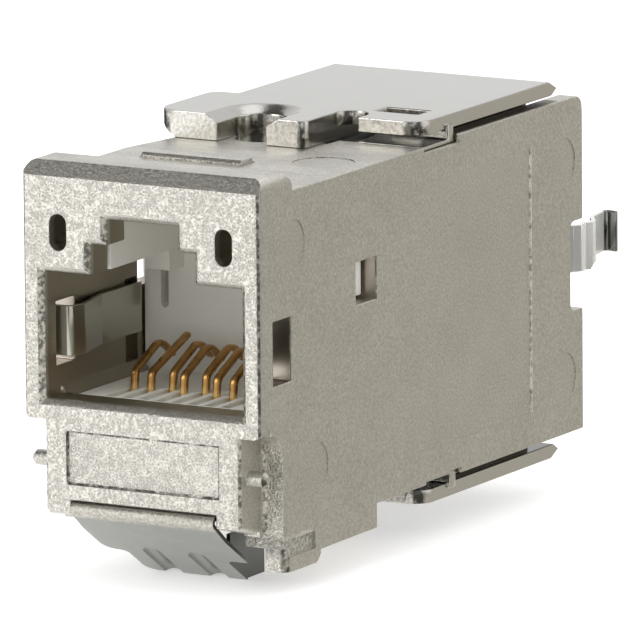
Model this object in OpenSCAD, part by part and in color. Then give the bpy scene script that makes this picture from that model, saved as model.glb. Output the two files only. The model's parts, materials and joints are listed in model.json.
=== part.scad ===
// Shielded keystone jack: a die-cast housing with a plug port, two covers, a panel latch
// and the contacts, board and wire manager inside it. Lengths are in millimetres.
// The origin is the middle of the plug port in the front face: X right, Y to the rear, Z up.

/* [Body] */
// Width across the side walls
body_w = 14.5; // [13.9:0.1:16]
// Length of the side walls, front face to rear edge
body_l = 36; // [35:0.5:44]
// Thickness of the side walls
wall_t = 1.2; // [0.9:0.05:1.4]
// Thickness of the front face
face_t = 2.1; // [1.7:0.1:2.3]
// Thickness of the deck and of the floor
deck_t = 1.22; // [0.9:0.02:1.6]
// Height of the front face's top edge above the deck
face_rise = 0.3; // [0.1:0.05:0.6]
// Drop from the lower block's underside to the body's underside
floor_drop = 0.67; // [0.4:0.01:1]
// Rise of the rear wall edges above the deck
rear_rise = 0.15; // [0.05:0.05:0.3]
// Radius of the walls' top rear corners
rear_r = 0.7; // [0.3:0.1:1.5]
// Radius of the upright edges of the front face and of the block
edge_r = 0.25; // [0.1:0.05:0.4]
// Radius of the front frame's lower corners
frame_r = 0.45; // [0.3:0.05:1]
// Diameter of the ejector marks on the walls
mark_d = 2.85; // [2:0.05:3.2]
// Diameter of the ejector mark on the deck
deck_mark_d = 3.4; // [2.5:0.1:3.8]

/* [Panel lip] */
// Height of the lip's crest above the front face
lip_h = 0.77; // [0.5:0.01:1]
// Length of the lip from the front face to its foot
lip_l = 3.67; // [3.2:0.01:5]
// Length of the bevel on the front of the lip
lip_bevel = 0.65; // [0.3:0.05:1]
// Radius of the lip's outer corners
lip_corner_r = 0.6; // [0.3:0.05:0.8]

/* [Plug port] */
// Height of the plug opening
port_h = 6.9; // [6.7:0.05:7.4]
// Bevel round the plug opening and its notch
port_bevel = 0.3; // [0.1:0.05:0.4]
// Width of the step above the opening
key_step_w = 6.4; // [6:0.1:7]
// Top of the step above the port's centre
key_step_h = 5.13; // [4.8:0.01:5.5]
// Width of the notch for the plug's lever
key_notch_w = 4.3; // [4.2:0.1:5.2]
// Top of the notch above the port's centre
key_notch_h = 6.53; // [6.5:0.01:7]
// Depth of the port from the front face to the stop wall
port_depth = 10.6; // [10:0.1:12]
// Thickness of the frame under the opening
sill_t = 1.1; // [0.9:0.05:1.4]
// Bevelled ledge along the foot of the port's side walls
ledge = 0.55; // [0.3:0.05:0.7]

/* [Clip slots] */
// Width of the two upright slots beside the notch
clip_slot_w = 1; // [0.7:0.05:1.3]
// Height of those slots
clip_slot_h = 1.95; // [1.5:0.05:2.3]
// Distance between the slots
clip_slot_pitch = 10.16; // [9.6:0.02:10.6]
// Height of the slots above the port's centre
clip_slot_z = 5.64; // [5.3:0.02:6]
// Depth of the slots behind the front face
clip_slot_l = 4; // [2:0.5:6]

/* [Lower block] */
// Width of the block under the port
block_w = 12.04; // [11:0.02:12.4]
// Depth of the block, front to back
block_l = 2.42; // [2.2:0.02:3.2]
// Height of the block
block_h = 5; // [4.8:0.05:6]
// Radius of the block's lower corners
block_r = 0.4; // [0.2:0.05:0.8]
// Radius of the corners between the block's sides and the walls behind it
block_fillet = 0.4; // [0.2:0.05:0.6]
// Radius of the arch where the front frame runs down into the side walls
arch_r = 1.3; // [0.6:0.1:1.5]
// Width of the name field, left bare
field_w = 9.4; // [7:0.1:10]
// Height of the name field
field_h = 2.95; // [2:0.05:3.3]
// Gap between the frame and the name field
field_gap = 0.5; // [0.3:0.05:0.7]
// Depth of the name field
field_sink = 0.15; // [0.05:0.01:0.3]
// Diameter of the two side pins
pin_d = 0.85; // [0.6:0.05:1.2]
// Reach of the pins out of the block
pin_reach = 1.17; // [0.8:0.01:1.5]
// Distance of the pins from the front face
pin_y = 0.93; // [0.7:0.01:1.5]
// Height of the pins below the frame
pin_drop = 2.3; // [1.5:0.1:3.2]

/* [Side windows] */
// Length of the front window, for the shield spring
spring_window_l = 1.9; // [1.5:0.05:2.2]
// Height of the front window
spring_window_h = 3.47; // [3.2:0.01:4]
// Length of the rear window, for the carrier's hook
hook_window_l = 2.15; // [1.9:0.05:2.4]
// Height of the rear window
hook_window_h = 2.3; // [1.8:0.05:2.8]
// Height of the rear window's middle above the port's centre
hook_window_z = 2.15; // [1.8:0.05:2.5]
// Depth of the notches in the rear edges of the walls
rear_notch_l = 1.4; // [1:0.1:2]
// Height of those notches
rear_notch_h = 4.98; // [4.6:0.02:7]
// Corner radius of those notches
rear_notch_r = 0.45; // [0.2:0.05:0.8]

/* [Skirt and lug] */
// Length of the skirt under the right wall
skirt_l = 10.2; // [8:0.1:12]
// Drop of the skirt below the body
skirt_drop = 1.34; // [0.8:0.02:1.6]
// Length of the lug on the skirt
lug_l = 3.67; // [2.5:0.01:5]
// Drop of the lug below the skirt
lug_drop = 0.69; // [0.4:0.01:1]
// Width of the lug
lug_w = 1.35; // [1.2:0.05:1.8]
// Length of the foot over the lug, which the casting gate was broken off
gate_l = 3.42; // [2.5:0.01:4]
// Drop of that foot below the body
foot_drop = 0.7; // [0.4:0.05:1]

/* [Covers] */
// Distance of the covers' front bar from the front face
bar_y = 16; // [15:0.1:17]
// Thickness of the front bar
bar_t = 1.5; // [1.3:0.05:1.8]
// Depth of the bar's seat in the deck
seat_sink = 0.25; // [0.1:0.05:0.4]
// Length of the ramp that leads down to the seat
ramp_l = 5.1; // [3:0.1:6]
// Right end of the bar
bar_right = 1; // [0.5:0.1:1.5]
// Distance from the bar to the front edge of the wide plate
wide_setback = 2.5; // [2.3:0.1:3.5]
// Width of the wide plate
cover_w = 13.6; // [13.2:0.1:13.9]
// Distance from the rear edge of the walls to the rear edge of the covers
cover_inset = 2.05; // [1.5:0.05:3]
// Gap between the wide plate and the wall edges
cover_gap = 0.3; // [0.2:0.05:0.5]
// Reach of the finger lobe past the left wall
lobe_reach = 1.15; // [0.6:0.05:1.6]
// Length of the finger lobe
lobe_l = 6.4; // [5.6:0.1:7.5]
// Width of the fork between the two ears
fork_w = 3; // [2.4:0.1:3.4]
// Depth of the fork
fork_l = 3.6; // [3:0.1:3.9]
// Width of the bevel round the fork
fork_bevel = 0.75; // [0.4:0.05:0.9]
// Length of the slot in the wide plate, across the jack
slot_w = 2.7; // [2:0.1:3.2]
// Width of that slot
slot_l = 1.45; // [1:0.05:2]

/* [Panel latch] */
// Width of the latch sheet
latch_w = 8.8; // [7.6:0.1:9.4]
// Thickness of the latch sheet
sheet_t = 0.25; // [0.2:0.01:0.3]
// Slope of the latch below the horizontal, in degrees
latch_slope = 33; // [30:1:36]
// Distance from the front face to the ends of the wings
wing_y = 3.6; // [3:0.1:4]
// Distance from the front face to the end of the tongue
tongue_y = 5.8; // [5.2:0.1:6.4]
// Width of the release tongue
tongue_w = 6.2; // [5.4:0.1:6.8]
// Distance between the two grooves in the tongue
groove_pitch = 2.8; // [2:0.1:3.4]
// Length of those grooves
groove_l = 2.9; // [2:0.1:3.4]

/* [Plug contacts] */
// Distance from one plug contact to the next
contact_pitch = 1.016; // [0.9:0.002:1.1]
// Width of a plug contact
contact_w = 0.45; // [0.35:0.01:0.5]
// Thickness of a plug contact
contact_t = 0.32; // [0.25:0.01:0.4]
// Distance from the front face to the feet of the contacts
contact_y = 5.2; // [4.8:0.1:5.6]
// Setback of the third and fifth contacts
contact_stagger = 0.6; // [0.3:0.05:0.9]
// Height of the contacts' arch above the port's floor
contact_rise = 2; // [1.6:0.05:2.4]

/* [Inner parts] */
// Clearance between an insert and what holds it
fit_gap = 0.1; // [0.05:0.01:0.15]
// Thickness of the carrier's stop wall
stop_t = 1.8; // [1.4:0.1:2.2]
// Thickness of the circuit board
board_t = 1; // [0.8:0.1:1.6]
// Length of the wire contact block
wire_block_l = 9.3; // [8:0.1:10]
// Distance from one wire contact to the next in a row
wire_pitch = 2.7; // [2.3:0.05:2.8]
// Distance between the two rows of wire contacts
wire_rows = 11.2; // [9.6:0.1:12]
// Width of a wire contact's blade
blade_w = 1.7; // [1.4:0.05:1.8]
// Thickness of a wire contact's blade
blade_t = 0.4; // [0.3:0.05:0.5]
// Width of the slit in a wire contact
slit_w = 0.35; // [0.25:0.05:0.45]
// Diameter of the cable entry
cable_d = 8.4; // [7:0.1:9]
// Distance from the rear edge of the walls to the wire manager's rear face
manager_inset = 0.8; // [0.4:0.1:1.5]
// Height of the cable shield strips
strip_h = 2.7; // [2:0.1:3]
// Reach of the cable shield strips behind the walls
strip_reach = 5; // [4.4:0.1:6]

/* [Hidden] */
$fn = 48;
// Reach of a cutter past the face that it opens
over = 1;
// Overlap of two shapes that are one piece
bite = 0.3;
// Number of straight steps in a bend of sheet metal
bend_steps = 6;
cast_color = [0.66, 0.65, 0.61];
plate_color = [0.72, 0.71, 0.68];
spring_color = [0.62, 0.63, 0.62];
plastic_color = [0.86, 0.86, 0.82];
gold_color = [0.72, 0.52, 0.22];
board_color = [0.12, 0.34, 0.2];

// Levels and walls of the housing
half_w = body_w / 2;
cav_hw = half_w - wall_t;
port_top = port_h / 2;
roof_t = 0.5;
cav_top = key_notch_h + roof_t + fit_gap;
deck_top = cav_top + deck_t;
face_top = deck_top + face_rise;
lip_top = face_top + lip_h;
lip_r = lip_top - deck_top;
rear_top = deck_top + rear_rise;
frame_bottom = port_top + sill_t;
block_bottom = frame_bottom + block_h;
body_bottom = block_bottom + floor_drop;
mid_z = (deck_top - body_bottom) / 2;
block_back = block_l + wall_t;
floor_sink = 0.35;

// Places along the housing
deck_l = bar_y + 2.1;
seat_z = deck_top - seat_sink;
notch_end = deck_l + 3.9;
notch_sink = seat_sink + 0.05;
spring_window_y = 1.45;
spring_window_z = -0.16;
spring_y = port_depth - 0.8;
spring_z = spring_window_z + 0.15;
spring_roll_y = spring_window_y + 0.35;
spring_rise_y = spring_window_y + 1.3;
spring_flat_y = spring_window_y + 4;
spring_rise = 0.55;
spring_roll = 0.3;
pocket_y = port_depth - 1.9;
pocket_l = 1.3;
hook_window_y = port_depth - 0.1;
hook_slant = 0.6;
rib_y = 8.7;
rib_w = 6.2;
rib_x = -1.9;
rib_h = 0.28;
rib_l = 1.3;
mark_sink = 0.05;
wall_marks = [[3.5, 5.4], [5.85, -7], [body_l - 2.3, 5], [body_l - 2.3, -7]];
deck_mark = [4.6, 11.7];
panel_y0 = 13;
panel_rear = 6;
panel_y1 = body_l - panel_rear;
panel_h = 14.7;
panel_sink = 0.07;
gate_h = 0.95;
gate_gap = 0.23;
gate_sink = 0.14;
lug_r = 0.55;
lug_front_r = 0.7;

// Outline of the plug opening, in X and Z
port_outline = [
    [-cav_hw, -port_top],
    [cav_hw, -port_top],
    [cav_hw, port_top],
    [key_step_w / 2, port_top],
    [key_step_w / 2, key_step_h],
    [key_notch_w / 2, key_step_h],
    [key_notch_w / 2, key_notch_h],
    [-key_notch_w / 2, key_notch_h],
    [-key_notch_w / 2, key_step_h],
    [-key_step_w / 2, key_step_h],
    [-key_step_w / 2, port_top],
    [-cav_hw, port_top]
];

// Cover plates
cover_top = seat_z + bar_t;
cover_under = rear_top + cover_gap;
plate_t = cover_top - cover_under;
wide_y = bar_y + wide_setback;
cover_rear = body_l - cover_inset;
rear_bevel_l = 0.9;
rear_bevel_h = plate_t * 0.55;
lobe_x = half_w + lobe_reach;
lobe_y = bar_y + lobe_l;
lobe_front_r = 1.5;
lobe_rear_r = 0.9;
lobe_root = half_w - 0.2;
lobe_lift = 0.65;
fork_x = bar_right - 3.92;
fork_end = bar_y + fork_l;
boss_t = 0.7;
boss_drop = 0.8;
ear_r = 0.5;
ear_gap = 1.9;
wide_r = 1.2;
slot_x = bar_right + ear_gap - 0.25;
slot_y = wide_y + 2.25;
cover_rib_t = 0.9;
cover_rib_h = 1.1;
tab_x = bar_right + ear_gap;
tab_y = deck_l + 0.25;
tab_w = half_w - 0.25 - tab_x;
tab_l = notch_end - 0.2 - tab_y;
tab_t = 0.25;
tab_z = deck_top - notch_sink;
web_in = 0.6;
web_t = 0.65;

// Panel latch: the sheet goes in over its nose and slopes down to the rear, less steeply past a crease
latch_slot_w = latch_w + 0.14;
latch_slot_h = 0.7;
latch_slot_top = block_bottom - latch_slot_h;
latch_slot_gap = 0.09;
latch_slot_rise = 0.6;
latch_root_y = block_l - 0.2;
nose_r = 0.22;
nose = [0.15, -(latch_slot_top + latch_slot_gap + sheet_t / 2 + nose_r)];
first_slope = latch_slope + 6;
nose_end = nose - nose_r * [sin(first_slope), cos(first_slope)];
crease_y = 1.25;
crease = nose_end + (crease_y - nose_end[0]) * [1, -tan(first_slope)];
wing_r = 0.8;
tongue_r = 0.7;
notch_r = 0.4;
groove_r = 0.9;
groove_sink = 0.2;
flange_l = 1.8;
flange_gap = 0.45;
bay_w = latch_w + 0.9;
bay_end = tongue_y + flange_l + 1.2;
bay_top = deck_t + bite - body_bottom;
bay_roof = 0.8;

// Inner parts, from the port to the rear
insert_hw = cav_hw - fit_gap;
insert_top = cav_top - fit_gap;
floor_hw = cav_hw - ledge - fit_gap;
floor_z = -port_top - fit_gap;
base_z = floor_z - 2.05;
carrier_end = port_depth + stop_t;
contact_knee = [0.25, 0.9];
contact_arch = [2.9, contact_rise + 0.15];
contact_tip = [4.3, contact_rise - 0.9];
raised_tip = [4.2, contact_rise + 0.35];
contact_radii = [0.3, 0.5, 1];
board_y = carrier_end + 0.5;
wire_block_y = board_y + board_t;
wire_block_end = wire_block_y + wire_block_l;
manager_y = wire_block_end + 0.3;
manager_end = body_l - manager_inset;
inner_hh = deck_top - mid_z - deck_t - fit_gap;
tail_z = floor_z - 1.2;
tail_l = 0.5;
stop_rib_x = 3.45;
stop_rib_w = 1.5;
stop_rib_l = 1.6;
stop_rib_z = 2.2;
stop_slot_x = 4.7;
stop_slot_w = 0.46;
stop_slot_z = [-0.16, 2.1];
hook_l = 1.3;
hook_reach = 0.4;
blade_end = wire_block_end - 0.8;
contact_slot_w = contact_w + 0.14;
strip_t = 0.25;
strip_leg_l = 5;
strip_x = insert_hw - strip_t / 2;
strip_rise = 0.275 * strip_h;
strip_step = 0.4;
strip_step_y = 1.5;
slit_l = 3.5;
wire_groove_w = 1.3;
channel_d = 1.5;
entry_bevel = 0.8;
throat_l = 2.4;

// Waves of the cable strips: inward from the wall's face and rearward from its edge
strip_waves = [
    [0.45, 0.1],
    [0.15, 0.6],
    [0.35, 1.1],
    [0, 1.75],
    [0.75, 2.9],
    [1.05, strip_reach],
    [0.2, strip_reach - 0.2]
];
strip_lead = 0.9;

function contact_x(i) = (i - 4.5) * contact_pitch;
function wire_x(i) = ((i - 1) % 4 - 1.5) * wire_pitch;
function wire_z(i) = mid_z + (i <= 4 ? 0.5 : -0.5) * wire_rows;
function contact_foot(i) = contact_y + (i == 3 || i == 5 ? contact_stagger : 0);

// Points of an arc, from one angle to another
function arc(c, r, a0, a1, n = 8) = [for (i = [0:n]) let (a = a0 + (a1 - a0) * i / n) c + r * [cos(a), sin(a)]];

// A path with every corner rounded, for bent sheet and wire
function unit(v) = v / norm(v);
function left_of(v) = [-v[1], v[0]];
function bend(a, p, b, r) =
    let (u = unit(a - p), w = unit(b - p), half = acos(u * w) / 2)
    let (c = p + unit(u + w) * r / sin(half), start = p + u * r / tan(half) - c, end = p + w * r / tan(half) - c)
    let (a0 = atan2(start[1], start[0]), sweep = (atan2(end[1], end[0]) - a0 + 540) % 360 - 180)
    arc(c, r, a0, a0 + sweep, bend_steps);
function bent(p, r) =
    [for (i = [0:len(p) - 1]) each i == 0 || i == len(p) - 1 ? [p[i]] : bend(p[i - 1], p[i], p[i + 1], r[i - 1])];
function alike(p, r) = [for (i = [2:len(p) - 1]) r];

// Outline of a strip of even thickness along a path
function strip_side(p, d) =
    [for (i = [0:len(p) - 1])
        let (before = unit(i == 0 ? p[1] - p[0] : p[i] - p[i - 1]))
        let (after = i == len(p) - 1 ? before : unit(p[i + 1] - p[i]))
        let (n = unit(left_of(before) + left_of(after)))
        p[i] + n * d / (n * left_of(after))];
function strip(p, t) =
    let (inner = strip_side(p, -t / 2))
    concat(strip_side(p, t / 2), [for (i = [len(p) - 1:-1:0]) inner[i]]);

// Outline in Y and Z of the housing's hollow
cavity_outline = [
    [face_t, cav_top],
    [face_t, floor_z - floor_sink],
    [block_back, floor_z - floor_sink],
    [block_back, bay_top + bay_roof],
    [bay_end + bay_roof, bay_top + bay_roof],
    [bay_end + bay_roof, deck_t - body_bottom],
    [body_l + over, deck_t - body_bottom],
    [body_l + over, cav_top]
];

// An outline in Y and Z, spread evenly over X
module along_x(w) {
    rotate([90, 0, 90])
        linear_extrude(height = w, center = true)
            children();
}

// An outline in X and Z, from one Y to another
module along_y(y0, y1) {
    translate([0, y1, 0])
        rotate([90, 0, 0])
            linear_extrude(height = y1 - y0)
                children();
}

module both_sides() {
    children();
    mirror([1, 0, 0])
        children();
}

module above_and_below() {
    children();
    below()
        children();
}

// Mirrored from the deck to the floor of the body
module below() {
    translate([0, 0, 2 * mid_z])
        mirror([0, 0, 1])
            children();
}

module rounded_rect(w, h, r) {
    square([w - 2 * r, h], center = true);
    square([w, h - 2 * r], center = true);
    for (x = [-1, 1], y = [-1, 1])
        translate([x * (w / 2 - r), y * (h / 2 - r)])
            circle(r);
}

// What is left of a square corner outside its round, with the corner at the origin
module corner_waste(r) {
    difference() {
        translate([-over, -over])
            square(r + over);
        translate([r, r])
            circle(r);
    }
}

module obround(w, h) {
    square([w, h - w], center = true);
    for (s = [-1, 1])
        translate([0, s * (h - w) / 2])
            circle(w / 2);
}

// Housing
module body_profile() {
    difference() {
        union() {
            polygon([
                [0, -frame_bottom],
                [0, face_top],
                [lip_bevel, lip_top],
                [lip_l - lip_r, lip_top],
                [lip_l - lip_r, deck_top],
                [notch_end, deck_top],
                [notch_end, rear_top],
                [body_l, rear_top],
                [body_l, -body_bottom],
                [block_l, -body_bottom],
                [block_l, -frame_bottom]
            ]);
            translate([lip_l - lip_r, deck_top])
                circle(lip_r);
            translate([block_l, -frame_bottom])
                rotate(180)
                    corner_waste(arch_r);
        }
        translate([body_l, rear_top])
            rotate(180)
                corner_waste(rear_r);
    }
}

// Block under the port, with its underside sloping down to the floor and rounded into the walls
module lower_block() {
    both_sides()
        translate([block_w / 2, block_l, -body_bottom])
            linear_extrude(height = block_h + floor_drop)
                mirror([0, 1])
                    corner_waste(block_fillet);
    difference() {
        along_x(block_w)
            polygon([
                [0, bite - frame_bottom],
                [0, -block_bottom],
                [block_l, -body_bottom],
                [block_l + bite, -body_bottom],
                [block_l + bite, bite - frame_bottom]
            ]);
        both_sides()
            translate([-block_w / 2, 0, -block_bottom])
                rotate([-atan(floor_drop / block_l), 0, 0])
                    along_y(-over, block_l + over)
                        corner_waste(block_r);
    }
}

module side_pins() {
    both_sides()
        translate([block_w / 2 - bite, pin_y, -frame_bottom - pin_drop])
            rotate([0, 90, 0])
                rotate_extrude()
                    polygon([
                        [0, 0],
                        [pin_d / 2, 0],
                        [pin_d / 2, pin_reach + bite - pin_d / 4],
                        [pin_d / 4, pin_reach + bite],
                        [0, pin_reach + bite]
                    ]);
}

module right_skirt() {
    skirt_y = block_l + bite + lug_front_r;
    lug_bottom = -body_bottom - skirt_drop - lug_drop;
    foot_w = half_w - bay_w / 2;
    translate([cav_hw, skirt_y, -body_bottom - skirt_drop])
        cube([wall_t, skirt_l + block_l - skirt_y, skirt_drop + bite]);
    translate([half_w - foot_w, block_l, -body_bottom - foot_drop])
        cube([foot_w, gate_l, foot_drop + bite]);
    difference() {
        translate([0, 0, lug_bottom])
            linear_extrude(height = lug_drop + skirt_drop - foot_drop + bite)
                difference() {
                    translate([half_w - lug_w, block_l + bite])
                        square([lug_w, lug_l]);
                    translate([half_w, block_l + bite])
                        mirror([1, 0])
                            corner_waste(lug_front_r);
                }
        along_x(2 * body_w)
            translate([block_l + bite + lug_l, lug_bottom])
                mirror([1, 0])
                    corner_waste(lug_r);
    }
}

// Rough place on the right wall where the casting gate was
module gate_mark() {
    translate([half_w - gate_sink, block_l - over, -body_bottom - gate_gap - gate_h])
        cube([over, gate_l + over, gate_h]);
}

// Room under the body for the latch and its flanges
module latch_bay() {
    translate([-bay_w / 2, block_l, -body_bottom - over])
        cube([bay_w, bay_end - block_l, over + body_bottom + bay_top]);
}

module ejector_marks() {
    both_sides()
        for (p = wall_marks)
            translate([half_w - mark_sink, p[0], p[1]])
                rotate([0, 90, 0])
                    cylinder(h = over, d = mark_d);
    translate([deck_mark[0], deck_mark[1], deck_top - mark_sink])
        cylinder(h = over, d = deck_mark_d);
}

// Shallow panels that fade out to the front of the side walls
module side_panels() {
    both_sides()
        translate([half_w, 0, mid_z - panel_h / 2])
            linear_extrude(height = panel_h)
                polygon([[0, panel_y0], [over, panel_y0], [over, panel_y1], [-panel_sink, panel_y1]]);
}

module deck_rib() {
    translate([rib_x, 0, deck_top])
        along_x(rib_w)
            polygon([
                [rib_y, -bite],
                [rib_y, rib_h / 2],
                [rib_y + rib_h / 2, rib_h],
                [rib_y + rib_l, rib_h],
                [rib_y + rib_l + rib_h, -bite]
            ]);
}

module port_ledges() {
    both_sides()
        along_y(face_t - bite, port_depth - bite)
            polygon([
                [cav_hw + bite, floor_z + ledge],
                [cav_hw, floor_z + ledge],
                [cav_hw - ledge, floor_z],
                [cav_hw - ledge, floor_z - bite],
                [cav_hw + bite, floor_z - bite]
            ]);
}

// Straight bevel cutter along X, for an edge at the face with the hole above it
module bevel_cut(w, c) {
    along_x(w)
        polygon([[-over, -c - over], [c, 0], [c, over], [-over, over]]);
}

// Bevel of even width along a square-cornered opening in the face, mitred at every corner
module contour_bevel(p, c) {
    n = len(p);
    normals = [for (i = [0:n - 1]) -left_of(unit(p[(i + 1) % n] - p[i]))];
    miters = [for (i = [0:n - 1]) c * (normals[i] + normals[(i + n - 1) % n])];
    for (i = [0:n - 1]) {
        j = (i + 1) % n;
        edge = p[j] - p[i];
        intersection() {
            along_y(-over, c)
                polygon([p[i] - miters[i], p[j] - miters[j], p[j] + miters[j], p[i] + miters[i]]);
            translate([p[i][0], 0, p[i][1]])
                rotate([0, atan2(-edge[1], edge[0]), 0])
                    bevel_cut(2 * norm(edge) + 4 * c, c);
        }
    }
}

module port_cut() {
    along_y(-over, face_t + over)
        polygon(port_outline);
    contour_bevel(port_outline, port_bevel);
}

module clip_slots(y1) {
    both_sides()
        along_y(-over, y1)
            translate([clip_slot_pitch / 2, clip_slot_z])
                obround(clip_slot_w, clip_slot_h);
}

module side_windows() {
    translate([0, spring_window_y + spring_window_l / 2, spring_window_z])
        cube([body_w + over, spring_window_l, spring_window_h], center = true);
    both_sides()
        translate([0, hook_window_y, hook_window_z - hook_window_h / 2])
            linear_extrude(height = hook_window_h)
                polygon([
                    [cav_hw - bite, -hook_slant],
                    [half_w, 0],
                    [half_w + over, 0],
                    [half_w + over, hook_window_l],
                    [cav_hw - bite, hook_window_l]
                ]);
    along_x(body_w + over)
        translate([body_l, mid_z])
            rounded_rect(2 * rear_notch_l, rear_notch_h, rear_notch_r);
}

// Pockets that hold the rear ends of the shield springs
module spring_pockets() {
    top = spring_window_z + spring_window_h / 2;
    both_sides()
        translate([cav_hw - over, pocket_y, floor_z + ledge])
            cube([over + 0.7 * wall_t, pocket_l, top - floor_z - ledge]);
}

module rear_bay() {
    translate([-cav_hw, deck_l, -body_bottom - over])
        cube([2 * cav_hw, body_l, body_bottom + rear_top + 2 * over]);
}

// Seat of a cover's bar, with its ramp, the opening under its fork and the notch for its tab
module cover_seat() {
    reach = bar_right + ear_gap / 2 + half_w + over;
    translate([reach / 2 - half_w - over, 0, 0])
        along_x(reach)
            polygon([
                [bar_y - ramp_l, deck_top],
                [bar_y - fit_gap, seat_z],
                [lobe_y + bite, seat_z],
                [lobe_y + bite, lip_top],
                [bar_y - ramp_l, lip_top]
            ]);
    translate([0, deck_l, deck_top - notch_sink])
        cube([half_w + over, notch_end - deck_l, lip_top]);
    translate([fork_x, deck_l, cav_top - over])
        cylinder(h = deck_t + 2 * over, d = fork_w - 2 * fit_gap);
}

module latch_pocket() {
    along_x(latch_slot_w)
        polygon([
            [-over, -latch_slot_top],
            [2 * nose[0], -latch_slot_top],
            [block_l, latch_slot_rise - latch_slot_top],
            [block_l, -block_bottom - over],
            [-over, -block_bottom - over]
        ]);
}

module name_field() {
    along_y(-over, field_sink)
        translate([0, -frame_bottom - field_gap - field_h / 2])
            rounded_rect(field_w, field_h, field_gap / 2);
}

// Round on an upright front edge at a given distance from the middle, up to a given height
module upright_edge(x, top) {
    translate([x, 0, -body_bottom - over])
        linear_extrude(height = top + body_bottom + over)
            mirror([1, 0])
                corner_waste(edge_r);
}

module face_edges() {
    both_sides() {
        upright_edge(half_w, lip_top + over);
        upright_edge(block_w / 2, -frame_bottom);
        along_y(-over, block_l - arch_r)
            translate([-half_w, -frame_bottom])
                corner_waste(frame_r);
        along_y(-over, lip_l + over)
            translate([half_w, lip_top])
                rotate(180)
                    corner_waste(lip_corner_r);
    }
}

module housing() {
    color(cast_color) {
        difference() {
            union() {
                along_x(body_w)
                    body_profile();
                lower_block();
                right_skirt();
                deck_rib();
            }
            along_x(2 * cav_hw)
                polygon(cavity_outline);
            rear_bay();
            port_cut();
            clip_slots(face_t + over);
            side_windows();
            spring_pockets();
            above_and_below()
                cover_seat();
            latch_pocket();
            latch_bay();
            name_field();
            face_edges();
            gate_mark();
            ejector_marks();
            side_panels();
        }
        side_pins();
        port_ledges();
    }
}

// Covers
module bar_plan() {
    difference() {
        translate([-lobe_x, bar_y])
            square([lobe_x + bar_right, lobe_l]);
        translate([-lobe_x, bar_y])
            corner_waste(lobe_front_r);
        translate([-lobe_x, lobe_y])
            mirror([0, 1])
                corner_waste(lobe_rear_r);
        translate([bar_right, bar_y])
            mirror([1, 0])
                corner_waste(ear_r);
    }
}

module wide_plan() {
    difference() {
        translate([-cover_w / 2, wide_y])
            square([cover_w, cover_rear - wide_y]);
        translate([cover_w / 2, wide_y])
            mirror([1, 0])
                corner_waste(wide_r);
        translate([-cover_w / 2 - over, bar_y])
            square([over + cover_w / 2 + bar_right, lobe_l - bite]);
    }
}

// Round-ended opening that runs forward from a given depth
module front_notch(x, w, depth) {
    translate([x, depth - w / 2])
        circle(w / 2);
    translate([x - w / 2, bar_y - over])
        square([w, depth - w / 2 - bar_y + over]);
}

// Round wall behind the fork, down into the opening in the deck
module fork_boss() {
    translate([0, 0, seat_z - boss_drop])
        linear_extrude(height = boss_drop + bite)
            intersection() {
                translate([fork_x, fork_end - fork_w / 2])
                    circle(fork_w / 2 + boss_t);
                translate([-half_w, deck_l + 2 * fit_gap])
                    square([body_w, fork_l]);
            }
}

module fork_cut() {
    fork_depth = 0.6 * fork_bevel;
    translate([0, 0, seat_z - over])
        linear_extrude(height = bar_t + 2 * over)
            front_notch(fork_x, fork_w, fork_end);
    along_y(bar_y - over, fork_end - fork_w / 2)
        translate([fork_x, cover_top])
            polygon([
                [-fork_w / 2, -fork_depth],
                [fork_w / 2, -fork_depth],
                [fork_w / 2 + fork_bevel, 0],
                [fork_w / 2 + fork_bevel, over],
                [-fork_w / 2 - fork_bevel, over],
                [-fork_w / 2 - fork_bevel, 0]
            ]);
    translate([fork_x, fork_end - fork_w / 2, cover_top - fork_depth]) {
        cylinder(h = fork_depth, r1 = fork_w / 2, r2 = fork_w / 2 + fork_bevel);
        translate([0, 0, fork_depth])
            cylinder(h = over, r = fork_w / 2 + fork_bevel);
    }
}

// Finger bevel under the lobe and the two bevels of the rear edge
module cover_bevels() {
    along_y(bar_y - over, lobe_y + over)
        polygon([
            [-lobe_root, seat_z - over],
            [-lobe_root, seat_z],
            [-lobe_x - over, seat_z + lobe_lift * (1 + over / (lobe_x - lobe_root))],
            [-lobe_x - over, seat_z - over]
        ]);
    along_x(cover_w + over)
        polygon([
            [cover_rear - rear_bevel_l, cover_top],
            [cover_rear, cover_top - rear_bevel_h],
            [cover_rear + over, cover_top - rear_bevel_h],
            [cover_rear + over, cover_top + over],
            [cover_rear - rear_bevel_l, cover_top + over]
        ]);
    along_x(cover_w + over)
        polygon([
            [cover_rear - 0.7 * rear_bevel_l, cover_under],
            [cover_rear, cover_top - rear_bevel_h],
            [cover_rear + over, cover_top - rear_bevel_h],
            [cover_rear + over, cover_under - over],
            [cover_rear - 0.7 * rear_bevel_l, cover_under - over]
        ]);
}

module cover() {
    difference() {
        union() {
            translate([0, 0, cover_under])
                linear_extrude(height = plate_t)
                    wide_plan();
            translate([0, 0, seat_z])
                linear_extrude(height = bar_t)
                    bar_plan();
            translate([tab_x, tab_y, tab_z])
                cube([tab_w, tab_l, tab_t]);
            translate([tab_x + web_in, tab_y + tab_l - web_t, tab_z])
                cube([tab_w - web_in, web_t, cover_under + bite - tab_z]);
            fork_boss();
            both_sides()
                translate([insert_hw - cover_rib_t, notch_end + over, cover_under - cover_rib_h])
                    cube([cover_rib_t, cover_rear - notch_end - 3 * over, cover_rib_h + bite]);
        }
        fork_cut();
        translate([0, 0, seat_z - over])
            linear_extrude(height = bar_t + 2 * over)
                front_notch(bar_right + ear_gap / 2, ear_gap, wide_y + ear_gap);
        translate([slot_x, slot_y, cover_under - fit_gap])
            cube([slot_w, slot_l, plate_t + over]);
        cover_bevels();
    }
}

module top_cover() {
    color(plate_color)
        cover();
}

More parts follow.
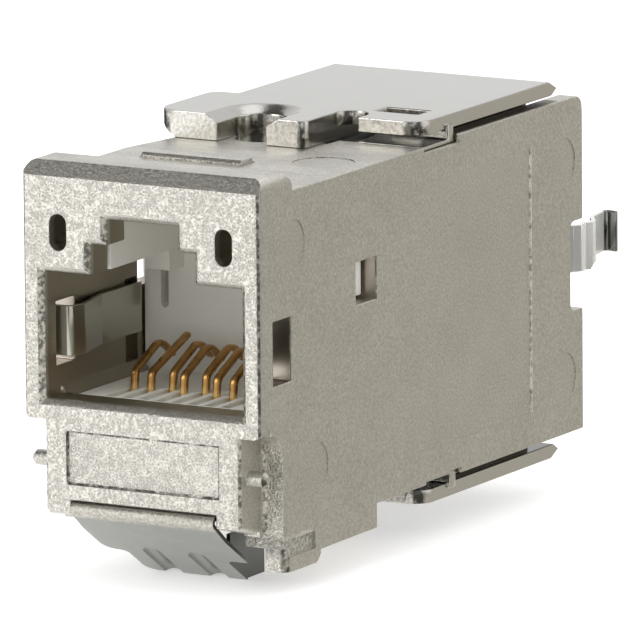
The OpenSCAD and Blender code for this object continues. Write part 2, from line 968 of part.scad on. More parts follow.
module bottom_cover() {
    color(plate_color)
        below()
            cover();
}

// Panel latch: a point of the sheet past its crease, at a given distance from the front face
function on_sheet(y) = crease + (y - crease_y) * [1, -tan(latch_slope)];

// A quarter of the round at the nose, with the flat sheet that runs on from it
module nose_quarter(l) {
    difference() {
        circle(nose_r + sheet_t / 2);
        circle(nose_r - sheet_t / 2);
        translate([-over, -2 * over])
            square(2 * over);
        translate([0, -over])
            square(2 * over);
    }
    translate([0, nose_r - sheet_t / 2])
        square([l, sheet_t]);
}

// Sheet in Y and Z: a leg in the slot, a true round at the nose, then the slope with its crease
module latch_profile() {
    translate(nose) {
        nose_quarter(latch_root_y - nose[0]);
        rotate(-first_slope)
            mirror([0, 1])
                nose_quarter(norm(crease - nose_end) / 2);
    }
    polygon(strip([nose_end + (crease - nose_end) / 4, crease, on_sheet(tongue_y)], sheet_t));
}

// Places its children on the slope of the sheet, with Y down the slope from a given distance
module on_slope(y) {
    p = on_sheet(y);
    translate([0, p[0], p[1]])
        rotate([-latch_slope, 0, 0])
            children();
}

module wing_waste() {
    on_slope(wing_y)
        linear_extrude(height = 2 * over, center = true) {
            for (s = [0, 1])
                mirror([s, 0])
                    translate([tongue_w / 2, 0])
                        difference() {
                            square([latch_w, tongue_y]);
                            corner_waste(notch_r);
                        }
            translate([-latch_w / 2, 0])
                mirror([0, 1])
                    corner_waste(wing_r);
        }
    on_slope(tongue_y)
        linear_extrude(height = 2 * over, center = true)
            translate([-tongue_w / 2, 0])
                mirror([0, 1])
                    corner_waste(tongue_r);
}

module tongue_grooves(r) {
    for (s = [-1, 1])
        on_slope(tongue_y)
            translate([s * groove_pitch / 2, -groove_l, groove_sink - groove_r - sheet_t / 2]) {
                sphere(r);
                rotate([-90, 0, 0])
                    cylinder(h = groove_l + over, r = r);
            }
}

// Side flanges of the tongue, up towards the bay
module tongue_flanges() {
    rear = on_sheet(tongue_y) + [flange_l, 0];
    top = -body_bottom - flange_gap;
    root = on_sheet(wing_y + bite);
    for (s = [-1, 1])
        translate([s * (tongue_w - sheet_t) / 2, 0, 0])
            along_x(sheet_t)
                polygon([root, on_sheet(tongue_y), rear, [rear[0], top], [root[0], top]]);
}

module panel_latch_spring() {
    color(spring_color)
        difference() {
            union() {
                along_x(latch_w)
                    latch_profile();
                intersection() {
                    tongue_grooves(groove_r + 0.8 * sheet_t);
                    on_slope(tongue_y)
                        translate([-tongue_w / 2, -tongue_y, -sheet_t / 2])
                            cube([tongue_w, tongue_y, tongue_w]);
                }
                tongue_flanges();
            }
            wing_waste();
            tongue_grooves(groove_r);
        }
}

// Contact carrier
module contact_slot(i) {
    x = contact_x(i) - contact_slot_w / 2;
    translate([x, face_t + 2 * bite, floor_z - bite])
        cube([contact_slot_w, contact_foot(i) - face_t, over]);
    translate([x, contact_foot(i) - contact_t, base_z - over])
        cube([contact_slot_w, 2.2 * contact_t, over + floor_z - base_z + over]);
    translate([x, contact_foot(i) - contact_t, base_z - over])
        cube([contact_slot_w, carrier_end, over + tail_z - base_z + contact_t]);
}

module carrier_hooks() {
    hook_end = hook_window_y + hook_window_l - 2.5 * fit_gap;
    root = insert_hw - bite;
    tip = cav_hw + hook_reach;
    both_sides()
        translate([0, 0, hook_window_z - hook_window_h / 2 + 2 * fit_gap])
            linear_extrude(height = hook_window_h - 4 * fit_gap)
                polygon([
                    [root, hook_end - hook_l],
                    [insert_hw, hook_end - hook_l],
                    [tip, hook_end - hook_l / 2],
                    [tip, hook_end],
                    [root, hook_end]
                ]);
}

module contact_carrier() {
    front_y = face_t + fit_gap;
    channel_hw = key_step_w / 2 - fit_gap;
    slot_h = stop_slot_z[1] - stop_slot_z[0];
    color(plastic_color) {
        difference() {
            union() {
                translate([-floor_hw, front_y, floor_z - floor_sink + fit_gap])
                    cube([2 * floor_hw, port_depth - face_t, floor_sink - fit_gap]);
                translate([-floor_hw, block_back + fit_gap, base_z])
                    cube([2 * floor_hw, carrier_end - block_back - fit_gap, floor_z - base_z]);
                translate([-insert_hw, port_depth, base_z])
                    cube([2 * insert_hw, stop_t, insert_top - base_z]);
                translate([-insert_hw, front_y, port_top])
                    cube([2 * insert_hw, carrier_end - front_y, insert_top - port_top]);
                both_sides()
                    translate([stop_rib_x, port_depth - stop_rib_l, stop_rib_z])
                        cube([stop_rib_w, stop_rib_l + bite, port_top + bite - stop_rib_z]);
            }
            along_y(-over, port_depth)
                translate([-channel_hw, port_top - over])
                    square([2 * channel_hw, key_notch_h - port_top + over]);
            clip_slots(clip_slot_l);
            for (i = [1:8])
                contact_slot(i);
            both_sides()
                along_y(port_depth - over, carrier_end - bite)
                    translate([stop_slot_x, stop_slot_z[0] + slot_h / 2])
                        obround(stop_slot_w, slot_h);
        }
        carrier_hooks();
    }
}

// Plug contacts: up through the floor, over an arch and down behind it
module plug_contact(i) {
    foot = [contact_foot(i), floor_z];
    tail = [board_y + board_t + tail_l, tail_z];
    rest = i == 2 ? [raised_tip] : [contact_arch, contact_tip];
    path = concat([tail, [foot[0], tail_z], foot + contact_knee], [for (p = rest) foot + p]);
    color(gold_color)
        translate([contact_x(i), 0, 0])
            along_x(contact_w)
                polygon(strip(bent(path, contact_radii), contact_t));
}

// Shield springs on the side walls of the port
module port_shield_spring() {
    lie = cav_hw - fit_gap - strip_t;
    path = [
        [cav_hw + wall_t / 3, spring_y],
        [lie, spring_y],
        [lie, spring_flat_y],
        [lie - spring_rise, spring_rise_y],
        [lie - spring_roll, spring_roll_y],
        [half_w - 2 * strip_t, spring_roll_y]
    ];
    color(spring_color)
        translate([0, 0, spring_z])
            linear_extrude(height = spring_window_h - 7.5 * fit_gap, center = true)
                polygon(strip(bent(path, alike(path, strip_t)), strip_t));
}

module port_shield_spring_right() {
    port_shield_spring();
}

module port_shield_spring_left() {
    mirror([1, 0, 0])
        port_shield_spring();
}

// Circuit board
module circuit_board() {
    color(board_color)
        difference() {
            translate([-insert_hw, board_y, mid_z - inner_hh])
                cube([2 * insert_hw, board_t, 2 * inner_hh]);
            for (i = [1:8]) {
                translate([contact_x(i), board_y - over, tail_z])
                    rotate([-90, 0, 0])
                        cylinder(h = board_t + 2 * over, d = norm([contact_w, contact_t]) + fit_gap);
                translate([wire_x(i), board_y - over, wire_z(i)])
                    rotate([-90, 0, 0])
                        cylinder(h = board_t + 2 * over, d = norm([blade_t, blade_w / 3]) + fit_gap);
            }
        }
}

// Wire contacts: forked blades in a plastic block
module wire_contact(i) {
    pin_w = blade_w / 3;
    root = wire_block_y + 2 * fit_gap;
    color(gold_color)
        translate([wire_x(i), 0, wire_z(i)])
            linear_extrude(height = blade_t, center = true)
                difference() {
                    union() {
                        translate([-pin_w / 2, board_y - board_t / 2])
                            square([pin_w, wire_block_l / 2]);
                        translate([-blade_w / 2, root])
                            square([blade_w, blade_end - root]);
                    }
                    translate([-slit_w / 2, blade_end - slit_l])
                        square([slit_w, slit_l + over]);
                    translate([0, blade_end])
                        rotate(45)
                            square(blade_w / 2, center = true);
                }
}

module wire_contact_block() {
    color(plastic_color)
        difference() {
            translate([-insert_hw, wire_block_y, mid_z - inner_hh])
                cube([2 * insert_hw, wire_block_l, 2 * inner_hh]);
            for (i = [1:8]) {
                translate([wire_x(i), wire_block_y + wire_block_l / 2, wire_z(i)])
                    cube([blade_w + 2 * fit_gap, wire_block_l + over, blade_t + 2 * fit_gap], center = true);
                translate([wire_x(i), blade_end - slit_l - fit_gap, wire_z(i)])
                    translate([-wire_groove_w / 2, 0, -wire_groove_w])
                        cube([wire_groove_w, wire_block_l, 2 * wire_groove_w]);
            }
            translate([0, wire_block_y + wire_block_l, mid_z])
                cube([wire_pitch * 3, wire_block_l, wire_rows - 4 * wire_groove_w], center = true);
            translate([0, wire_block_y, tail_z])
                cube([contact_pitch * 9, 4 * over, 3 * contact_t], center = true);
        }
}

// Wire manager: cable entry at the rear, conductor channels to the wire contacts in front
module wire_manager() {
    front_l = 4.2;
    strip_room = strip_t + fit_gap;
    color(plastic_color)
        difference() {
            translate([-insert_hw, manager_y, mid_z - inner_hh])
                cube([2 * insert_hw, manager_end - manager_y, 2 * inner_hh]);
            translate([0, manager_y + front_l, mid_z])
                rotate([-90, 0, 0]) {
                    cylinder(h = body_l, d = cable_d);
                    translate([0, 0, manager_end - manager_y - front_l - entry_bevel])
                        cylinder(h = entry_bevel + over, d1 = cable_d, d2 = cable_d + 2 * (entry_bevel + over));
                }
            for (i = [1:8])
                translate([wire_x(i), manager_y - over, wire_z(i)])
                    rotate([-90, 0, 0])
                        cylinder(h = front_l + 2 * over, d = channel_d);
            above_and_below()
                for (x = [-1.5:1:1.5])
                    translate([x * wire_pitch - channel_d / 3, manager_y - over, mid_z + wire_rows / 2])
                        cube([channel_d / 1.5, front_l + 2 * over, inner_hh]);
            translate([0, manager_y + front_l, mid_z])
                cube([wire_pitch * 3 + channel_d, throat_l, wire_rows + channel_d], center = true);
            for (s = [-1, 1])
                translate([s * (insert_hw - strip_room / 2), manager_end, mid_z + s * strip_rise])
                    cube([strip_room, 2 * (strip_leg_l + 2 * fit_gap), strip_h + 4 * fit_gap], center = true);
        }
}

// Cable shield springs: strips from the wire manager's sides out through the rear notches
module cable_shield_spring() {
    leg = [[strip_x, manager_end - strip_leg_l], [strip_x, body_l - strip_lead]];
    path = concat(leg, [for (p = strip_waves) [half_w - strip_t - p[0], body_l + p[1]]]);
    color(spring_color)
        translate([0, 0, mid_z + strip_rise])
            difference() {
                linear_extrude(height = strip_h, center = true)
                    polygon(strip(bent(path, alike(path, strip_t)), strip_t));
                translate([0, body_l + strip_step_y, -strip_h / 2])
                    along_x(2 * body_w)
                        difference() {
                            translate([0, -over])
                                square([2 * strip_reach, strip_step + over]);
                            translate([0, strip_step])
                                mirror([0, 1])
                                    corner_waste(strip_step);
                        }
            }
}

module cable_shield_spring_right() {
    cable_shield_spring();
}

module cable_shield_spring_left() {
    translate([0, 0, 2 * mid_z])
        rotate([0, 180, 0])
            cable_shield_spring();
}

housing();
top_cover();
bottom_cover();
panel_latch_spring();
contact_carrier();
for (i = [1:8]) plug_contact(i);
port_shield_spring_left();
port_shield_spring_right();
circuit_board();
wire_contact_block();
for (i = [1:8]) wire_contact(i);
wire_manager();
cable_shield_spring_left();
cable_shield_spring_right();
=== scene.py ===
import json
import math

import bpy
from mathutils import Matrix, Vector
from mathutils.bvhtree import BVHTree


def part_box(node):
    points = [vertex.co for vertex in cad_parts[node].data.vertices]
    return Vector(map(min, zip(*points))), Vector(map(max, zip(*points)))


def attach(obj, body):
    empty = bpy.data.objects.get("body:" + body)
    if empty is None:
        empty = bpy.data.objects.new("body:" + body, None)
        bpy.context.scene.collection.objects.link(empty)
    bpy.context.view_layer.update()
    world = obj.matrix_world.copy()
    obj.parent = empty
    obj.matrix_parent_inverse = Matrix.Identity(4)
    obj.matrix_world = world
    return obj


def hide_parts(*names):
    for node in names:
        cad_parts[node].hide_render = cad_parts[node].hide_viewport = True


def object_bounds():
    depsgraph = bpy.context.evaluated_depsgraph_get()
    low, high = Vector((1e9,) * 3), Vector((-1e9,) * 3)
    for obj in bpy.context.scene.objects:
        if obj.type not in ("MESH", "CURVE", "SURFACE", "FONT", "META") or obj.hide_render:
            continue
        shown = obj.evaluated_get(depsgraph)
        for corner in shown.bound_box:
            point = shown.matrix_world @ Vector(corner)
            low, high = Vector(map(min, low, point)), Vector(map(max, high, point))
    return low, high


mm = 0.001
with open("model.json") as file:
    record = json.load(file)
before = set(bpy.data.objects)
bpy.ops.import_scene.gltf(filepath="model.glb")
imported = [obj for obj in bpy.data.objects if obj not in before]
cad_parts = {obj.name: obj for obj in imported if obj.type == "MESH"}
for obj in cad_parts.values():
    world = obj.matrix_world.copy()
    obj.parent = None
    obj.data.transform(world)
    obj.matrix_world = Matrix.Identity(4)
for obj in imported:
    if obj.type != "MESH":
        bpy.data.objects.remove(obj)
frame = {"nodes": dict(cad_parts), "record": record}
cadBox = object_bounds()
print("frame loaded with", len(frame["nodes"]), "nodes")


class Wire:  # one socket of a node tree, so that shader maths reads as plain arithmetic
    def __init__(self, tree, socket):
        self.tree = tree
        self.socket = socket

    def node(self, kind, settings, inputs, output=0):  # settings first, then the sockets
        made = self.tree.nodes.new(kind)
        for name, value in settings.items():
            setattr(made, name, value)
        for name, value in inputs.items():
            if isinstance(value, Wire):
                self.tree.links.new(value.socket, made.inputs[name])
            else:
                made.inputs[name].default_value = value
        return Wire(self.tree, made.outputs[output])

    def math(self, operation, first, second):
        return self.node("ShaderNodeMath", {"operation": operation}, {0: first, 1: second})

    def __add__(self, other):
        return self.math("ADD", self, other)

    def __radd__(self, other):
        return self.math("ADD", other, self)

    def __sub__(self, other):
        return self.math("SUBTRACT", self, other)

    def __rsub__(self, other):
        return self.math("SUBTRACT", other, self)

    def __mul__(self, other):
        return self.math("MULTIPLY", self, other)

    def __rmul__(self, other):
        return self.math("MULTIPLY", other, self)

    def __truediv__(self, other):
        return self.math("DIVIDE", self, other)

    def clamped(self):
        return self.node("ShaderNodeClamp", {}, {"Value": self})

    def blend(self, low, high):  # two colours, mixed by this mask
        settings = {"data_type": "RGBA"}
        return self.node("ShaderNodeMix", settings, {"Factor": self, "A": low, "B": high}, "Result")

    def vector(self, operation, inputs):  # this place or direction, moved or stretched
        return self.node("ShaderNodeVectorMath", {"operation": operation}, {0: self, **inputs})

    def part(self, axis):  # one coordinate of a place or direction
        return self.node("ShaderNodeSeparateXYZ", {}, {"Vector": self}, axis)


def plainMaterial(name):  # a material and its shader's node
    made = bpy.data.materials.new(name)
    made.use_nodes = True
    return made, made.node_tree.nodes["Principled BSDF"]


def newMaterial(name):  # the same, with the place on the piece in millimetres
    made, shader = plainMaterial(name)
    tree = made.node_tree
    place = Wire(tree, tree.nodes.new("ShaderNodeTexCoord").outputs["Object"])
    return made, shader, place.vector("SCALE", {"Scale": 1 / mm})


socketNames = {
    "color": "Base Color",
    "rough": "Roughness",
    "metal": "Metallic",
    "normal": "Normal",
    "specular": "Specular IOR Level",
    "subsurface": "Subsurface Weight",
    "reach": "Subsurface Radius",
    "glow": "Emission Color",
    "glowStrength": "Emission Strength",
}


def plug(shader, **sockets):
    tree = shader.id_data
    for name, value in sockets.items():
        target = shader.inputs[socketNames[name]]
        if isinstance(value, Wire):
            tree.links.new(value.socket, target)
        else:
            target.default_value = value


def noise(place, scale, detail=2.0, rough=0.5):  # scale is per millimetre
    inputs = {"Vector": place, "Scale": scale, "Detail": detail, "Roughness": rough}
    return place.node("ShaderNodeTexNoise", {}, inputs, "Fac")


def turned(place, axis):  # one part of the surface's own direction, on the piece
    return place.node("ShaderNodeTexCoord", {}, {}, "Normal").part(axis)


def steps(value, low, high):  # 0 below, 1 above, a slope between
    return ((value - low) / (high - low)).clamped()


def inside(place, low, high, soft=0.2):  # 1 inside a box given in millimetres, soft at its sides
    mask = 1.0
    for index, axis in enumerate("XYZ"):
        here = place.part(axis)
        mask = steps(here, low[index], low[index] + soft) * steps(high[index] - here, 0.0, soft) * mask
    return mask


def bump(place, height, depth=1.0):  # depth in millimetres
    inputs = {"Height": height, "Distance": depth * mm, "Strength": 1.0}
    return place.node("ShaderNodeBump", {}, inputs, "Normal")


def shade(color, factor=1.0):
    return tuple(channel * factor for channel in color) + (1,)


def tinted(mask, color, span):  # a colour between two shares of itself, by a mask
    return mask.blend(shade(color, span[0]), shade(color, span[1]))


castLook = {
    "color": (0.62, 0.6, 0.55),
    "span": (0.6, 1.4),  # darkest and brightest share of the colour
    "rough": {"base": 0.36, "grain": 0.08, "front": 0.08},
    "front": (0.82, 0.95),  # how squarely a face looks forward to have the coarse skin
    "shift": (0.05, 0.06, 0.04),  # keeps the flat faces off the noise's own grid, where it is weak
    "pebble": {"scale": 9.0, "share": 0.7, "cut": (0.4, 0.6), "depth": 0.03},  # coarse skin of the front
    "patch": {"scale": 2.2, "share": 0.3},  # slower change of that skin
    "grain": {"scale": 7.5, "cut": (0.3, 0.7), "depth": 0.008},  # fine sand on the other sides
    "cloud": 0.35,  # slow change of tone
    "sideTone": {"cloud": 0.2, "grain": 0.45, "base": 0.17},
    "frontTone": {"pebble": 0.75, "grain": 0.25, "base": 0.05},
    "top": {  # faces that look up get painted shade, with painted reflection streaks drawn out across the jack
        "faces": (0.8, 0.95), "topShade": 0.14, "reflectionStreaks": 0.7, "streak": 0.9, "drawn": (0.35, 1, 1),
    },
    "gate": {  # rough mark on the lug, where the casting was broken off its gate
        "low": (4.6, 2.0, -11.45), "high": (7.6, 5.9, -10.2),
        "grain": 4.5, "crumble": 0.7, "cut": (0.35, 0.65), "depth": 0.1,
    },
    "bore": {  # painted shade inside the port
        "low": (-6.3, 0.4, -4.4), "high": (6.3, 13.0, 6.9), "color": (0.36, 0.32, 0.25),
    },
    "window": {  # painted shade in the side windows, on both sides
        "low": (6.1, 1.0, -1.0), "high": (7.2, 12.9, 4.4), "soft": 0.05, "color": (0.5, 0.455, 0.39),
    },
    "seats": {  # painted shade on the seats under the two covers
        "boxes": [((-7.1, 18.2, 7.6), (7.1, 33.6, 8.7)), ((-7.1, 18.2, -10.6), (7.1, 33.6, -9.5))],
        "soft": 0.1, "color": (0.13, 0.105, 0.08),
    },
    "field": {  # painted shade: a dark line in the crease round the sunk field
        "low": (-4.72, -0.2, -8.02), "high": (4.72, 0.4, -5.03), "line": 0.13, "soft": 0.04,
    },
    "arris": {  # painted dark reflection, dotted, on the edge between the front and the walls, and how far out the walls start
        "side": (0.1, 0.2), "front": (0.35, 0.5), "outer": (6.6, 6.9),
        "dots": 2.5, "cut": (0.3, 0.55), "share": 0.2,
    },
    "mitre": {"grain": 4.0, "cut": (0.4, 0.6), "span": (0.35, 1.3)},  # painted dark and bright reflections, speckled, on the mitres and block corners
    "panel": {  # painted highlights: bright dots at the wall panels' rear edge
        "low": (-8, 29.94, -8.3), "high": (8, 30.14, 6.4), "soft": 0.04, "wall": (7.1, 7.15),
        "dots": 2.2, "cut": (0.42, 0.55), "share": 1.6,
    },
}


def castTone(place, look, forward, pebble, grain):  # how bright the skin is, with painted shade on upward faces, before the painted shade, reflections and highlights added later
    side, front, top, gate = look["sideTone"], look["frontTone"], look["top"], look["gate"]
    cloud = noise(place, look["cloud"])
    tone = (cloud * side["cloud"] + grain * side["grain"] + side["base"]) * (1 - forward)
    tone = tone + (pebble * front["pebble"] + grain * front["grain"] + front["base"]) * forward
    drawn = place.vector("MULTIPLY", {1: top["drawn"]})
    streak = noise(drawn, top["streak"], detail=3) - 0.5  # noise swings about 0.5
    reflectionStreaks = streak * top["reflectionStreaks"] - top["topShade"]
    broken = inside(place, gate["low"], gate["high"])
    crumb = steps(noise(place, gate["grain"], detail=3, rough=gate["crumble"]), *gate["cut"])
    # faces that look up get the painted shade and painted reflection streaks
    tone = tone * (1 - broken) + crumb * broken + steps(turned(place, "Z"), *top["faces"]) * reflectionStreaks
    return tone, crumb * broken * gate["depth"]


def castPaintedEdges(place, look, color, apart):  # painted highlight dots, painted dark and bright reflections on mitres and edges, and a painted shade line over the plain colour
    panel, mitre, arris, field = look["panel"], look["mitre"], look["arris"], look["field"]
    # painted highlights at the wall panels' rear edge
    glint = inside(place, panel["low"], panel["high"], panel["soft"]) * steps(apart, *panel["wall"])
    glint = glint * steps(noise(place, panel["dots"]), *panel["cut"])
    color = glint.blend(color, shade(look["color"], panel["share"]))
    # painted dark reflection along the edges where the front meets the walls
    side = turned(place, "X")
    edge = steps(side * side, *arris["side"]) * steps(turned(place, "Y") * -1, *arris["front"])
    outer = steps(apart, *arris["outer"])
    # painted dark and bright reflections on the inner mitres and block corners
    mitreReflection = steps(noise(place, mitre["grain"], detail=3), *mitre["cut"])
    color = (edge * (1 - outer)).blend(color, tinted(mitreReflection, look["color"], mitre["span"]))
    # painted shade in the crease round the sunk field
    low, high = Vector(field["low"]), Vector(field["high"])
    rim = Vector((field["line"], 0, field["line"]))
    line = inside(place, low, high, field["soft"]) - inside(place, low + rim, high - rim, field["soft"])
    dots = steps(noise(place, arris["dots"]), *arris["cut"])
    return ((line + edge * outer) * dots).clamped().blend(color, shade(look["color"], arris["share"]))


def castZinc():
    look = castLook
    made, shader, place = newMaterial("castZinc")
    pebbleLook, patchLook, grainLook = look["pebble"], look["patch"], look["grain"]
    forward = steps(turned(place, "Y") * -1, *look["front"])
    shifted = place.vector("ADD", {1: look["shift"]})
    skin = noise(shifted, pebbleLook["scale"]) * pebbleLook["share"]
    skin = skin + noise(shifted, patchLook["scale"]) * patchLook["share"]
    pebble = steps(skin, *pebbleLook["cut"])
    grain = steps(noise(place, grainLook["scale"]), *grainLook["cut"])
    tone, gateHeight = castTone(place, look, forward, pebble, grain)

    mirrored = place.vector("ABSOLUTE", {})
    window = inside(mirrored, look["window"]["low"], look["window"]["high"], look["window"]["soft"])
    bore = inside(place, look["bore"]["low"], look["bore"]["high"])
    color = tinted(tone.clamped(), look["color"], look["span"])
    # painted shade inside the port, darker and browner
    color = bore.blend(color, shade(look["bore"]["color"]))
    # painted shade in the side windows
    color = window.blend(color, shade(look["window"]["color"]))
    # painted shade on the seats under the two covers
    for low, high in look["seats"]["boxes"]:
        color = inside(place, low, high, look["seats"]["soft"]).blend(color, shade(look["seats"]["color"]))
    color = castPaintedEdges(place, look, color, mirrored.part("X"))

    outside = 1 - window
    height = pebble * forward * outside * pebbleLook["depth"]
    height = height + grain * outside * grainLook["depth"] + gateHeight
    rough = look["rough"]["base"] + grain * look["rough"]["grain"] - forward * look["rough"]["front"]
    plug(shader, color=color, metal=1.0, rough=rough, normal=bump(place, height))
    return made


coverLook = {
    "color": (0.47, 0.462, 0.437),
    "span": (0.9, 1.06),
    "rough": {"base": 0.17, "grain": 0.1},
    "grain": {"scale": 7.0, "cut": (0.35, 0.65), "depth": 0.005},
    "cloud": 0.6,
    "tone": {"cloud": 0.5, "sand": 0.5},
    "rim": (0.55, 0.8),  # how far a face leans to be part of the rim
    "front": (0.3, 0.6),  # and how far forward it looks to be speckled
    "edge": {  # the brighter cast rim of the plate, with its specks or, at the sides and rear, plain
        "color": (0.66, 0.64, 0.59), "span": (0.78, 1.15), "plain": 0.4,
        "grain": 5.0, "cut": (0.36, 0.64), "depth": 0.006,
    },
    "corner": {  # painted dark reflection on the round corners of the front
        "side": (0.12, 0.2), "front": (0.5, 0.65), "dots": 2.0, "cut": (0.25, 0.5), "share": 0.12,
    },
    "under": {"level": (2.0, 4.0), "share": 0.15},  # painted shade on the side that faces the housing
}


def plateZinc():
    look = coverLook
    made, shader, place = newMaterial("plateZinc")
    grainLook, edge, corner, under = look["grain"], look["edge"], look["corner"], look["under"]
    grain = noise(place, grainLook["scale"], detail=3)
    sand = steps(noise(place, grainLook["scale"]), *grainLook["cut"])
    tone = noise(place, look["cloud"]) * look["tone"]["cloud"] + sand * look["tone"]["sand"]
    color = tinted(tone, look["color"], look["span"])

    up, across, forward = turned(place, "Z"), turned(place, "X"), turned(place, "Y") * -1
    rim = steps(1 - up * up, *look["rim"])
    front = steps(forward, *look["front"])
    speck = steps(noise(place, edge["grain"], detail=3), *edge["cut"])
    speck = speck * front + edge["plain"] * (1 - front)
    cast = tinted(speck, edge["color"], edge["span"])
    # painted dark reflection on the round corners of the front
    bend = steps(across * across, *corner["side"]) * steps(forward, *corner["front"])
    bend = bend * steps(noise(place, corner["dots"]), *corner["cut"])
    cast = bend.blend(cast, shade(edge["color"], corner["share"]))

    underShade = steps(place.part("Z") * up * -1, *under["level"])  # painted shade where a face looks towards the middle of the jack
    color = underShade.blend(rim.blend(color, cast), shade(look["color"], under["share"]))
    height = grain * grainLook["depth"] + speck * rim * edge["depth"]
    rough = look["rough"]["base"] + grain * look["rough"]["grain"]
    plug(shader, color=color, metal=1.0, rough=rough, normal=bump(place, height))
    return made


sheetGrain = {  # rolling lines and slow tone, the same on all the spring sheets
    "lines": 9.0, "drawn": (0.06, 1, 1), "depth": 0.003, "rough": 0.12, "cloud": 0.8, "span": (0.9, 1.1),
    "side": (0.3, 0.7),  # faces that look to the right, painted in shade on the latch
}
sheetLooks = {
    "latch": {
        # side: share of the colour on faces that look to the right, a painted shade on the latch
        "name": "latchSteel", "color": (0.34, 0.345, 0.32), "side": 0.35, "metal": 1.0, "rough": 0.19,
        "nose": {  # painted highlight: a brighter speckled band along the nose
            "low": (-4.6, -0.4, -9.85), "high": (4.6, 0.5, -8.7),
            "color": (0.55, 0.53, 0.48), "span": (0.8, 1.25),
            "grain": 6.0, "cut": (0.35, 0.65), "depth": 0.015, "rough": 0.25,
        },
    },
    "port": {"name": "portSteel", "color": (0.46, 0.45, 0.4), "side": 1.0, "metal": 1.0, "rough": 0.19},
    "strip": {
        "name": "stripSteel", "color": (0.93, 0.93, 0.91), "side": 1.0, "metal": 0.6, "rough": 0.06,
        "roll": {"low": (-10.5, 40.45, -12.0), "high": (10.5, 41.3, 12.0), "share": 0.3},  # painted dark reflection on the rolled ends, which are also made fully metal
    },
}


def springSheet(look):
    made, shader, place = newMaterial(look["name"])
    drawn = place.vector("MULTIPLY", {1: sheetGrain["drawn"]})
    lines = noise(drawn, sheetGrain["lines"], detail=3)
    color = tinted(noise(place, sheetGrain["cloud"]), look["color"], sheetGrain["span"])
    height = lines * sheetGrain["depth"]
    rough = look["rough"] + lines * sheetGrain["rough"]
    metal = look["metal"]
    if "nose" in look:
        nose = look["nose"]
        # painted highlight along the nose band
        litNose = inside(place, nose["low"], nose["high"])
        speck = steps(noise(place, nose["grain"]), *nose["cut"])
        color = litNose.blend(color, tinted(speck, nose["color"], nose["span"]))
        height = height + speck * litNose * nose["depth"]
        rough = rough + litNose * nose["rough"]
    # painted shade on the latch's faces that look to the right; the other sheets keep their plain colour
    # there
    color = steps(turned(place, "X"), *sheetGrain["side"]).blend(color, shade(look["color"], look["side"]))
    if "roll" in look:
        roll = look["roll"]
        # rolled ends: painted dark reflection in the colour, and fully metal
        polishedRollShade = inside(place, roll["low"], roll["high"])
        color = polishedRollShade.blend(color, shade(look["color"], roll["share"]))
        metal = metal + polishedRollShade * (1 - metal)
    plug(shader, color=color, metal=metal, rough=rough, normal=bump(place, height))
    return made


plasticLook = {
    "color": (0.9, 0.89, 0.83),
    "span": (0.95, 1.02),
    "rough": {"base": 0.42, "grain": 0.1},
    "grain": 9.0,
    "depth": 0.003,
    "cloud": 0.5,
    "glow": {"weight": 0.08, "radius": (0.6, 0.55, 0.5)},  # how far light goes in, in millimetres
}


def palePlastic():
    look = plasticLook
    made, shader, place = newMaterial("palePlastic")
    grain = noise(place, look["grain"])
    color = tinted(noise(place, look["cloud"]), look["color"], look["span"])
    rough = look["rough"]["base"] + grain * look["rough"]["grain"]
    plug(shader, color=color, rough=rough, normal=bump(place, grain, look["depth"]))
    depths = [depth * mm for depth in look["glow"]["radius"]]
    plug(shader, subsurface=look["glow"]["weight"], reach=depths)
    return made


goldLook = {
    "color": (0.92, 0.65, 0.27),
    "span": (0.82, 1.1),
    "arm": {  # painted dark reflection: darker and browner above this height, on the arms inside the port
        "color": (0.4, 0.22, 0.07), "span": (0.7, 1.4), "from": (-3.75, -3.15),
    },
    "rough": {"base": 0.24, "cloud": 0.08},
    "cloud": 1.4,
    "grain": 8.0,
    "depth": 0.003,
}


def goldPlate():
    look = goldLook
    made, shader, place = newMaterial("goldPlate")
    cloud = noise(place, look["cloud"], detail=3)
    tip = tinted(cloud, look["color"], look["span"])
    # painted dark reflection on the arms above this height
    arm = tinted(cloud, look["arm"]["color"], look["arm"]["span"])
    raised = steps(place.part("Z"), *look["arm"]["from"])
    rough = look["rough"]["base"] + cloud * look["rough"]["cloud"]
    skin = bump(place, noise(place, look["grain"]), look["depth"])
    plug(shader, color=raised.blend(tip, arm), metal=1.0, rough=rough, normal=skin)
    return made


boardLook = {"color": (0.03, 0.14, 0.06), "span": (0.8, 1.2), "rough": 0.35, "weave": 3.0, "depth": 0.004}


def solderMask():
    look = boardLook
    made, shader, place = newMaterial("solderMask")
    weave = noise(place, look["weave"])
    color = tinted(weave, look["color"], look["span"])
    plug(shader, color=color, rough=look["rough"], normal=bump(place, weave, look["depth"]))
    return made


finishes = {  # by the record's material slots
    "cast_zinc": castZinc(),
    "cover_zinc": plateZinc(),
    "spring_steel": springSheet(sheetLooks["latch"]),
    "pale_plastic": palePlastic(),
    "gold_contact": goldPlate(),
    "board_laminate": solderMask(),
}
ownFinishes = {  # by the start of a node's name
    "cable_shield": springSheet(sheetLooks["strip"]),
    "port_shield": springSheet(sheetLooks["port"]),
}
nodeSlots = {row["node"]: row["material_slot"] for row in frame["record"]["subparts"]}
print("finishes made:", ", ".join(finishes))


def dress(piece, nodeName):
    finish = finishes[nodeSlots[nodeName]]
    for start, own in ownFinishes.items():
        finish = own if nodeName.startswith(start) else finish
    piece.data.materials.clear()
    piece.data.materials.append(finish)


def pick(piece):
    bpy.ops.object.select_all(action="DESELECT")
    piece.select_set(True)
    bpy.context.view_layer.objects.active = piece


